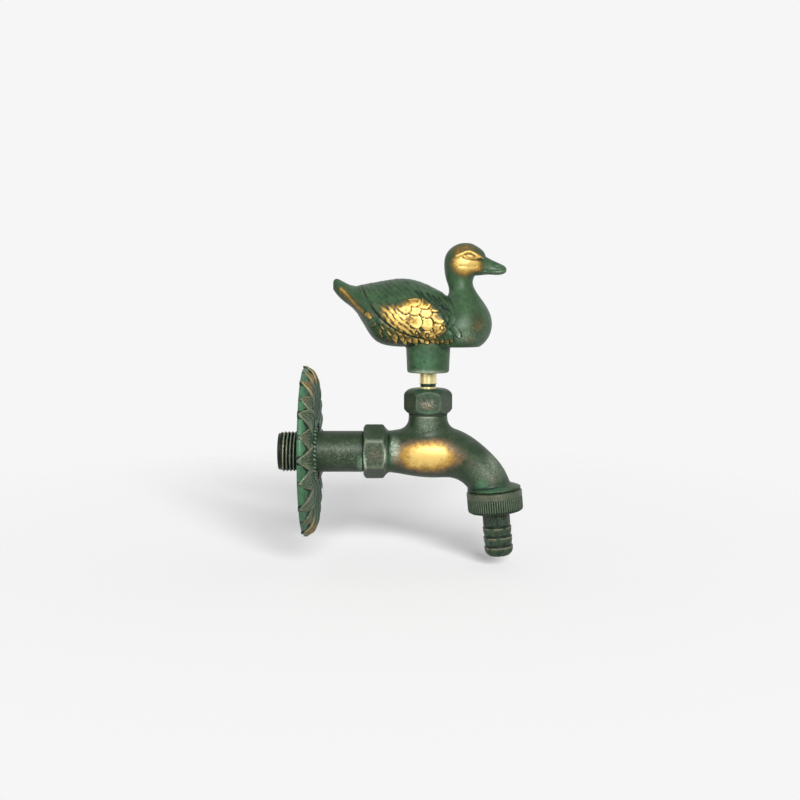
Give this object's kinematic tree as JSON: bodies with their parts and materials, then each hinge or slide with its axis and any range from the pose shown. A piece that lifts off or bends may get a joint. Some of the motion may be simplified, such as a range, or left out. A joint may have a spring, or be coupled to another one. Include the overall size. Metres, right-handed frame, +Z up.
{
  "type": "garden tap",
  "caption": "Wall-mounted brass garden tap with a duck-shaped handle, leaf rosette, curved spout and a knurled union holding a barbed hose tail.",
  "frame": {"origin": "centre of the rosette's back face, the wall plane, on the inlet axis", "axes": "+X points away from the wall along the inlet axis, +Z is up along the spindle, +Y is to the right of someone facing the wall's outside from the spout end"},
  "size_m": [0.1269, 0.089, 0.1621],
  "materials": {
    "patina_brass": "dark green patina over cast brass, rubbed to gold on the high places",
    "bare_brass": "turned bare brass",
    "rubber": "black rubber",
    "fibre": "pressed fibre",
    "steel": "zinc-plated steel"
  },
  "bodies": {
    "tap": {"tap_body": "patina_brass", "inlet_nipple": "patina_brass", "wall_rosette": "patina_brass", "bonnet": "patina_brass", "bonnet_gasket": "fibre", "spindle_o_rings": "rubber"},
    "jumper": {"jumper_valve": "bare_brass", "jumper_washer": "rubber", "jumper_nut": "bare_brass"},
    "handle": {"spindle": "bare_brass", "duck_handle": "patina_brass", "handle_grub_screw": "steel"},
    "tail": {"hose_tail": "patina_brass", "hose_washer": "rubber"},
    "nut": {"union_nut": "patina_brass"}
  },
  "joints": [
    {"name": "jumper_lift", "type": "slide", "parent": "tap", "child": "jumper", "axis": [0, 0, 1], "range_m": [0, 0.00562]},
    {"name": "handle_turn", "type": "hinge", "parent": "jumper", "child": "handle", "pos_m": [0.0643, 0, 0.041], "axis": [0, 0, 1], "range_deg": [0, 810]},
    {"name": "tail_drop", "type": "slide", "parent": "tap", "child": "tail", "axis": [0.0872, 0, -0.9962], "range_m": [0, 0.0059]},
    {"name": "union_turn", "type": "hinge", "parent": "tail", "child": "nut", "pos_m": [0.09922, 0, -0.02588], "axis": [0.0872, 0, -0.9962], "range_deg": [0, 1170]}
  ],
  "couplings": [
    {"joint": "jumper_lift", "follows": "handle_turn", "m_per_rad": 0.00039789},
    {"joint": "tail_drop", "follows": "union_turn", "m_per_rad": 0.00028871}
  ]
}
